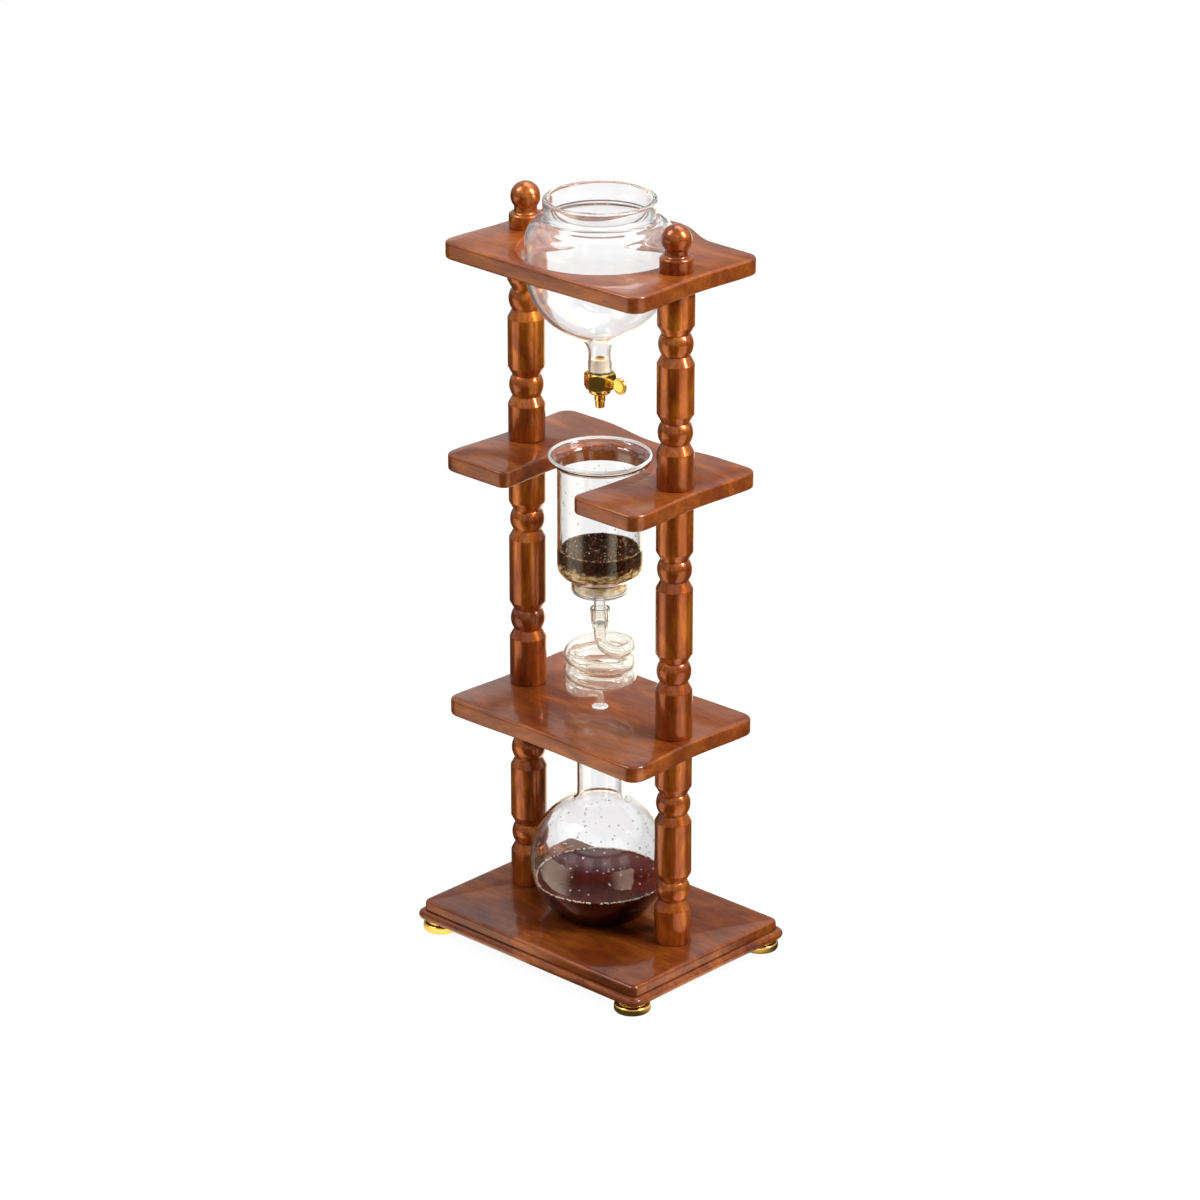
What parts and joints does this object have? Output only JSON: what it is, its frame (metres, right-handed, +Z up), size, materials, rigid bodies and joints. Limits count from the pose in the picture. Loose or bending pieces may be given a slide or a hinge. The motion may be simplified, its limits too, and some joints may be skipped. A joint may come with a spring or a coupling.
{
  "type": "cold drip coffee tower",
  "caption": "Two-column turned wood stand holding a glass water globe with a drip tap, a brew chamber, a spiral glass coil and a round flask.",
  "frame": {"origin": "on the floor, midway between the two columns", "axes": "+X along the row of columns, to the right seen from the front; -Y towards the open side of the middle shelf's slot; +Z up"},
  "size_m": [0.264, 0.196, 0.68],
  "materials": {
    "base_wood": "lacquered red-brown wood with fine grain and small dark pores",
    "board_wood": "lacquered red-brown board, grain along its length",
    "turned_wood": "glossy lacquered turned wood, orange-brown",
    "stud_steel": "zinc-plated steel",
    "insert_brass": "plain turned brass",
    "polished_brass": "polished gold-coloured brass",
    "pad_rubber": "matt black rubber",
    "seal_rubber": "black rubber",
    "cream_silicone": "translucent cream silicone",
    "globe_glass": "clear borosilicate glass",
    "chamber_glass": "clear borosilicate glass",
    "coil_glass": "clear blown glass tube",
    "flask_glass": "clear glass with small drops inside",
    "filter_ceramic": "fine white ceramic",
    "filter_fabric": "wet cream filter pad",
    "ground_coffee": "wet ground coffee, coarse and dark",
    "brewed_coffee": "nearly black red-brown liquid"
  },
  "bodies": {
    "stand": {"base_board": "base_wood", "lower_shelf": "board_wood", "middle_shelf": "board_wood", "top_shelf": "board_wood", "left_lower_spindle": "turned_wood", "right_lower_spindle": "turned_wood", "left_middle_spindle": "turned_wood", "right_middle_spindle": "turned_wood", "left_upper_spindle": "turned_wood", "right_upper_spindle": "turned_wood", "left_finial": "turned_wood", "right_finial": "turned_wood", "spindle_studs": "stud_steel", "thread_inserts": "insert_brass", "base_bolts": "stud_steel", "base_washers": "stud_steel", "feet": "polished_brass", "foot_screws": "stud_steel", "foot_pads": "pad_rubber"},
    "globe": {"water_globe": "globe_glass", "stem_sleeve": "cream_silicone", "tap_tail": "polished_brass", "tap_gasket": "seal_rubber", "tap_body": "polished_brass", "tap_nozzle": "polished_brass", "key_o_ring": "seal_rubber"},
    "key": {"tap_key": "polished_brass"},
    "chamber": {"brew_chamber": "chamber_glass", "filter_plate": "filter_ceramic", "filter_pad": "filter_fabric", "coffee_bed": "ground_coffee"},
    "coil": {"coil_socket": "coil_glass", "spiral_coil": "coil_glass"},
    "flask": {"flask": "flask_glass", "brewed_coffee": "brewed_coffee"}
  },
  "joints": [
    {"name": "globe_lift", "type": "slide", "parent": "stand", "child": "globe", "axis": [0, 0, 1], "range_m": [0, 0.15]},
    {"name": "key_turn", "type": "hinge", "parent": "globe", "child": "key", "pos_m": [0.0225, 0, 0.51973], "axis": [1, 0, 0], "range_deg": [-90, 90]},
    {"name": "chamber_lift", "type": "slide", "parent": "stand", "child": "chamber", "axis": [0, 0, 1], "range_m": [0, 0.03]},
    {"name": "coil_swivel", "type": "hinge", "parent": "stand", "child": "coil", "pos_m": [0, 0, 0.221], "axis": [0, 0, 1], "range_deg": [-180, 180]},
    {"name": "flask_draw", "type": "slide", "parent": "stand", "child": "flask", "axis": [0, -1, 0], "range_m": [0, 0.16]}
  ]
}
